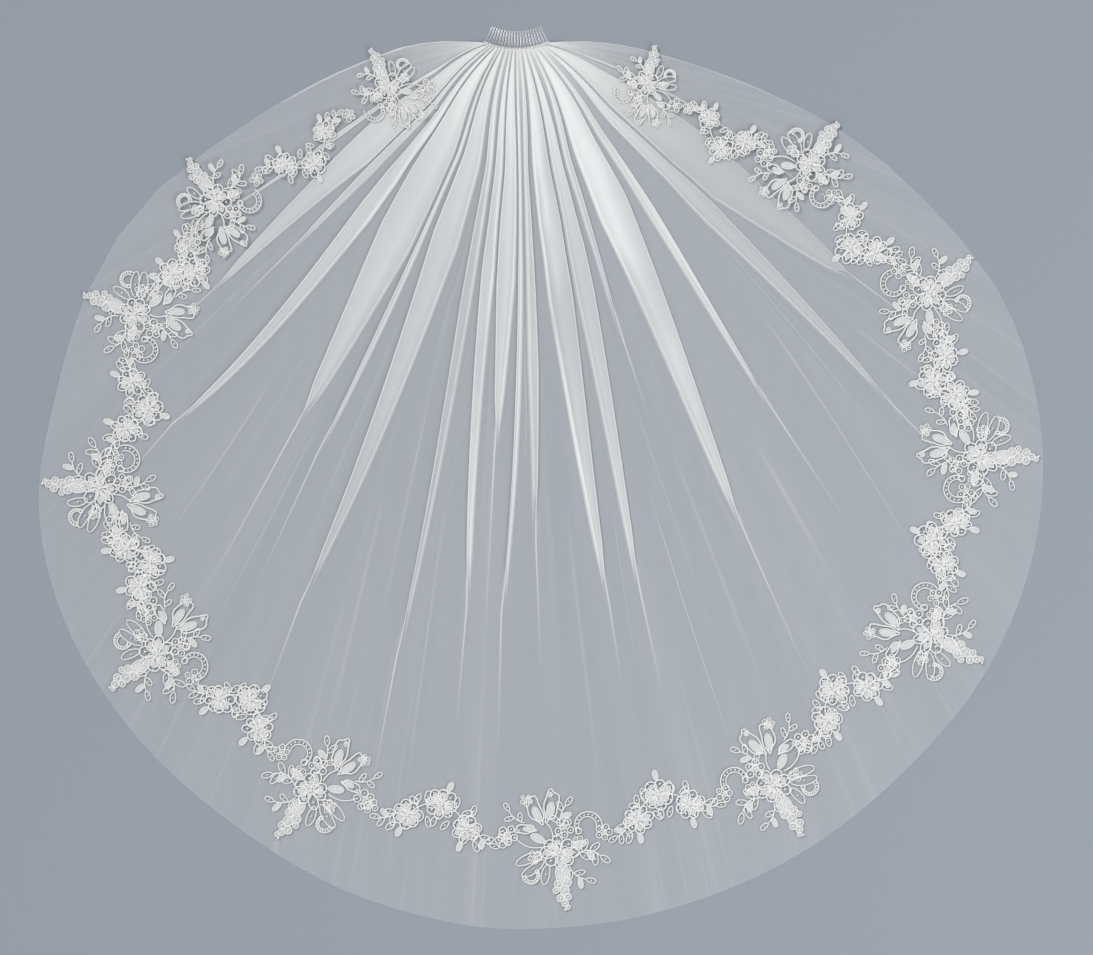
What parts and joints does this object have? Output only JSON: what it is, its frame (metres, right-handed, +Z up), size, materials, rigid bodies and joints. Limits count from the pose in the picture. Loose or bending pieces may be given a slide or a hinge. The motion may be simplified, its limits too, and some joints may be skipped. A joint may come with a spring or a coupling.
{
  "type": "bridal veil",
  "caption": "Bridal veil laid flat: sheer net gathered onto a wire hair comb and fanned out in pressed pleats, edged with floral corded lace.",
  "frame": {"origin": "under the middle of the whole, on the surface that the veil lies on", "axes": "+X across the veil, +Y from the hem towards the comb, +Z up off the surface"},
  "size_m": [1.2556, 1.129, 0.0071],
  "materials": {
    "net": "sheer soft white net",
    "lace": "ivory white corded lace",
    "comb_wire": "bright silver wire"
  },
  "bodies": {
    "root": {"tulle": "net", "comb_teeth": "comb_wire", "comb_spine": "comb_wire", "lace_spray_01": "lace", "lace_spray_02": "lace", "lace_spray_03": "lace", "lace_spray_04": "lace", "lace_spray_05": "lace", "lace_spray_06": "lace", "lace_spray_07": "lace", "lace_spray_08": "lace", "lace_spray_09": "lace", "lace_spray_10": "lace", "lace_spray_11": "lace", "lace_spray_12": "lace", "lace_spray_13": "lace", "lace_garland_01": "lace", "lace_garland_02": "lace", "lace_garland_03": "lace", "lace_garland_04": "lace", "lace_garland_05": "lace", "lace_garland_06": "lace", "lace_garland_07": "lace", "lace_garland_08": "lace", "lace_garland_09": "lace", "lace_garland_10": "lace", "lace_garland_11": "lace", "lace_garland_12": "lace"}
  },
  "joints": []
}
